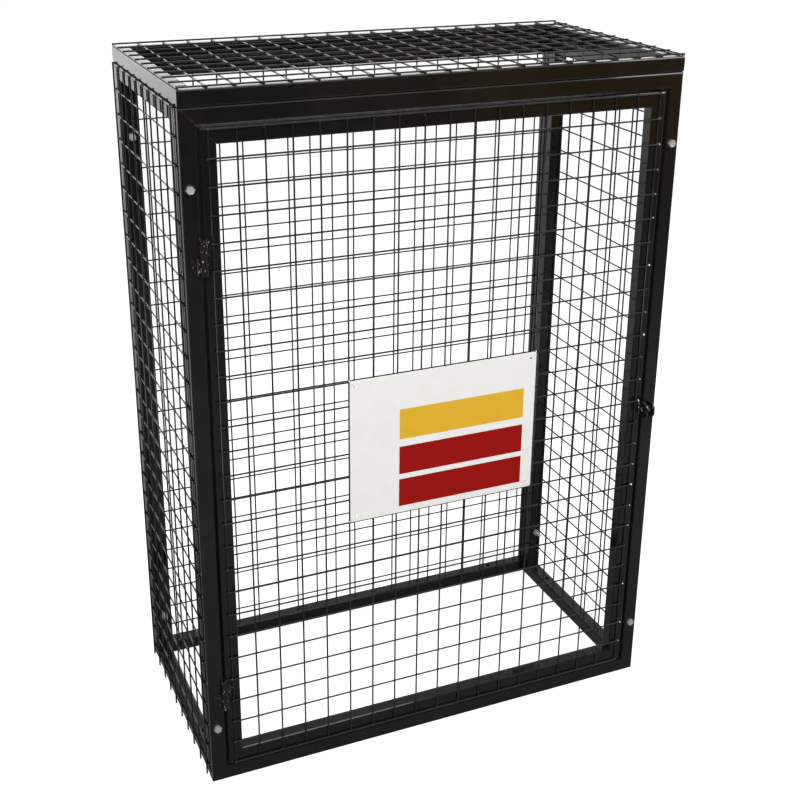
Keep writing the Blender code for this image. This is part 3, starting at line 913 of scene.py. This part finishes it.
bead_y = FRONT - BEAD_OUT
for title in ("lower", "upper"):
    for half, body, side in (("frame_half", "cage", 0), ("door_half", "door", 1)):
        low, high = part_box(f"hinge_{title}_{half}")
        x = (low.x, high.x)[side]
        ends = [(x, bead_y, low.z + HINGE_BEAD_INSET), (x, bead_y, high.z - HINGE_BEAD_INSET)]
        beads = lay_bead(*ends, HINGE_BEAD)
        away = (x + (2 * side - 1) * SPATTER_AWAY, (low.z + high.z) / 2)
        beads += scatter(away, 0.0035, 0.016, 16)
        finish_piece(join(beads, f"hinge_{title}_{half}_weld", 80), BEAD_PAINT, body)
for tab, body in (("padlock_tab_door", "door"), ("padlock_tab_frame", "cage")):
    low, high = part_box(tab)
    beads = []
    for x in (low.x - TAB_BEAD_CLEAR, high.x + TAB_BEAD_CLEAR):
        if x < DOOR_HIGH.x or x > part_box("front_right_post")[0].x:
            ends = [(x, bead_y, low.z + TAB_BEAD_INSET), (x, bead_y, high.z - TAB_BEAD_INSET)]
            beads += lay_bead(*ends, TAB_BEAD)
    beads += scatter(((low.x + high.x) / 2, (low.z + high.z) / 2), 0.002, 0.018, 8)
    finish_piece(join(beads, tab + "_weld", 80), BEAD_PAINT, body)
print("beads and spatter laid")

# %% [markdown]
# ## Ties on the sign
# The sign hangs on the door's mesh by a clear nylon tie at each corner. A tie goes through the corner hole,
# round the corner of the plate and round a wire behind it. A torus squeezed flat makes the strap, and a
# small bevelled block behind the plate is its head.

# %% Nylon finish
NYLON, tree, shader, place = new_finish("clear_nylon")
haze = noise(tree, place, 180.0, 2.0)
feed(tree, shader, {
    "Base Color": blend_colour(tree, haze, (0.86, 0.86, 0.84, 1), (0.74, 0.74, 0.72, 1)),
    "Roughness": spread(tree, haze, 0.3, 0.7, 0.22, 0.38),
})
print(NYLON.name, "has", len(tree.nodes), "nodes")

# %% Tie the sign's corners
HALF_SIGN = (sign_high - sign_low) / 2
HOLE_INSET = 0.012
STRAP_OUT = 0.0088  # from the hole to the strap's middle
STRAP_RADIUS, STRAP_THICKNESS = 0.0092, 0.0009
STRAP_SHAPE = (1, 0.46, 1.25)
TIE_HEAD, TIE_HEAD_PLACE, TIE_HEAD_BEVEL = (0.0042, 0.0026, 0.0040), (0.001, 0.0044, 0), 0.0006
TIE_DEPTH = 0.0034


def model_tie(name):
    """A strap round the Y axis with its head behind it."""
    start_clean()
    bpy.ops.mesh.primitive_torus_add(major_segments=28, minor_segments=8, major_radius=STRAP_RADIUS,
                                     minor_radius=STRAP_THICKNESS)
    strap = bpy.context.object
    strap.scale = STRAP_SHAPE
    settle(strap, "strap", 60)
    start_clean()
    bpy.ops.mesh.primitive_cube_add(size=1, scale=TIE_HEAD, location=TIE_HEAD_PLACE)
    tie_head = bpy.context.object
    bpy.ops.object.transform_apply(scale=True)
    edit_by_place("EDGE", lambda edge: True)
    bpy.ops.mesh.bevel(offset=TIE_HEAD_BEVEL, segments=2)
    bpy.ops.object.mode_set(mode="OBJECT")
    return join([strap, tie_head], name, 60)


CORNERS = [(side_z, side_x) for side_x in (-1, 1) for side_z in (-1, 1)]
for side_z, side_x in CORNERS:
    title = ("low", "high")[side_z > 0] + ("_left", "_right")[side_x > 0]
    inset = HALF_SIGN - Vector((HOLE_INSET, 0, HOLE_INSET))
    hole = SIGN_MIDDLE + Vector((side_x * inset.x, 0, side_z * inset.z))
    centre = hole + Vector((side_x, 0, side_z)).normalized() * STRAP_OUT
    slant = math.degrees(math.atan2(side_z, side_x))
    tie = model_tie(f"sign_tie_{title}")
    tie.matrix_world = Matrix.Translation((centre.x, sign_low.y + TIE_DEPTH, centre.z)) @ about("Y", -slant)
    finish_piece(settle(tie, tie.name, 60), NYLON, "door")
print(len(CORNERS), "ties")

# %% [markdown]
# ## The studio
# A white floor catches a soft shadow, and the world is white behind it. Gloss paint shows its surroundings,
# so what it mirrors matters as much as the lamps. In the mirror the floor is bright far behind the cage, dim
# close to it, and warm on the right in front, as a studio with a wooden floor past the paper would be. A
# bright card lies on the left, where upright round shapes such as wires can mirror it. The world is bright
# low down behind the cage and dim above, which lights the lid's bars, and it is dim low down in front.

# %% Floor
start_clean()
bpy.ops.mesh.primitive_plane_add(size=60)
floor = bpy.context.object
floor.name = "studio_floor"
floor_paint = bpy.data.materials.new("studio_floor")
floor_paint.use_nodes = True
tree = floor_paint.node_tree
tree.nodes.clear()
path = add_node(tree, "ShaderNodeLightPath").outputs
axes = split(tree, add_node(tree, "ShaderNodeTexCoord").outputs["Object"])
print("floor", floor.dimensions.x, "m wide")

# %% What the floor shows in a mirror
PAPER_WHITE, PAPER_GREY = (1, 1, 1, 1), 0.42
WOOD, WOOD_GLOW = (1.0, 0.58, 0.12, 1), 0.12
FLOOR_GLOW = 0.80  # what the camera sees, on top of the lamps' light
CARD_GLOW = 2.2
BANDS = (  # from Y, to Y, glow before, glow after
    (-5.0, -1.2, 0.08, 0.24),
    (-1.0, 0.2, 0.0, -0.11),
    (0.4, 1.6, 0.0, 0.25),
    (3.0, 8.0, 0.0, 0.60),
)
CARD_EDGES = (  # axis, dark, full, full, dark
    ("X", -6.0, -4.0, -1.9, -1.4),
    ("Y", -1.5, -1.0, -0.3, 0.2),
)
bands = [spread(tree, axes["Y"], *band) for band in BANDS]
card = CARD_GLOW
for axis, dark, full, still_full, dark_again in CARD_EDGES:
    card = maths(tree, "MULTIPLY", card, spread(tree, axes[axis], dark, full),
                 spread(tree, axes[axis], still_full, dark_again, 1.0, 0.0))
wood = maths(tree, "MULTIPLY", spread(tree, axes["X"], 1.8, 4.2),
             spread(tree, axes["Y"], -5.5, -3.5, 1.0, 0.0))
shown = maths(tree, "ADD", *bands, card, maths(tree, "MULTIPLY", wood, WOOD_GLOW))
in_mirror = path["Is Glossy Ray"]
mirrored = maths(tree, "MULTIPLY", in_mirror, shown)
warm = maths(tree, "MULTIPLY", in_mirror, wood)
straight = maths(tree, "MAXIMUM", path["Is Camera Ray"], path["Is Transmission Ray"])
seen = maths(tree, "MULTIPLY", straight, FLOOR_GLOW)
print("floor glow has", len(BANDS), "bands, a card and a warm side")

# %% Put the floor's finish together
matt = add_node(tree, "ShaderNodeBsdfDiffuse")
glow = add_node(tree, "ShaderNodeEmission")
both = add_node(tree, "ShaderNodeAddShader")
output = add_node(tree, "ShaderNodeOutputMaterial")
grey = maths(tree, "MULTIPLY", maths(tree, "SUBTRACT", 1.0, in_mirror), PAPER_GREY)
feed(tree, matt, {"Color": grey})
feed(tree, glow, {
    "Color": blend_colour(tree, warm, PAPER_WHITE, WOOD),
    "Strength": maths(tree, "ADD", seen, mirrored),
})
feed(tree, both, {0: matt.outputs[0], 1: glow.outputs[0]})
feed(tree, output, {"Surface": both.outputs[0]})
floor.data.materials.append(floor_paint)
floor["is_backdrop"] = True
print("floor finish has", len(tree.nodes), "nodes")

# %% World
world = bpy.data.worlds.new("white_studio")
bpy.context.scene.world = world
world.use_nodes = True
tree = world.node_tree
path = add_node(tree, "ShaderNodeLightPath").outputs
axes = split(tree, add_node(tree, "ShaderNodeTexCoord").outputs["Generated"])
rear_sky = spread(tree, axes["Z"], 0.28, 0.50, 1.35, 0.30)
front_sky = spread(tree, axes["Z"], 0.0, 0.5, 0.16, 0.8)
sky = spread(tree, axes["Y"], -0.5, 0.6, front_sky, rear_sky)
mirrored = maths(tree, "MULTIPLY", path["Is Glossy Ray"], sky)
straight = maths(tree, "MAXIMUM", path["Is Camera Ray"], path["Is Transmission Ray"])
fill = maths(tree, "MULTIPLY", path["Is Diffuse Ray"], 0.55)
feed(tree, tree.nodes["Background"], {
    "Color": (1, 1, 1, 1),
    "Strength": maths(tree, "ADD", straight, mirrored, fill),
})
print("world has", len(tree.nodes), "nodes")


# %% Lamps
def hang_lamp(name, place, target, size, power, in_mirrors=True):
    lamp = bpy.data.lights.new(name, "AREA")
    lamp.shape = "RECTANGLE"
    lamp.size, lamp.size_y = size
    lamp.energy = power
    holder = bpy.data.objects.new(name, lamp)
    bpy.context.scene.collection.objects.link(holder)
    holder.location = place
    holder.rotation_euler = (Vector(target) - Vector(place)).to_track_quat("-Z", "Y").to_euler()
    holder.visible_camera = False
    holder.visible_glossy = in_mirrors


hang_lamp("key_softbox", (-1.6, -2.6, 3.2), (0, 0, 0.7), (1.8, 1.2), 95)
hang_lamp("fill_softbox", (2.6, -1.8, 2.2), (0, 0, 0.7), (1.6, 1.6), 36)
hang_lamp("top_softbox", (0, 0.8, 3.4), (0, 0, 0.7), (2.4, 1.6), 40)
hang_lamp("rear_softbox", (0.8, 3.2, 2.5), (0, 0, 1.2), (4.4, 1.8), 32, in_mirrors=False)
bpy.context.scene.view_settings.view_transform = "Standard"

# %% Compare the sizes
visual_box = [list(corner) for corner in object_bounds()]
grown = [[round((a - b) * 1000, 1) for a, b in zip(*pair)] for pair in zip(visual_box, cad_box)]
print("grown by", grown, "mm")
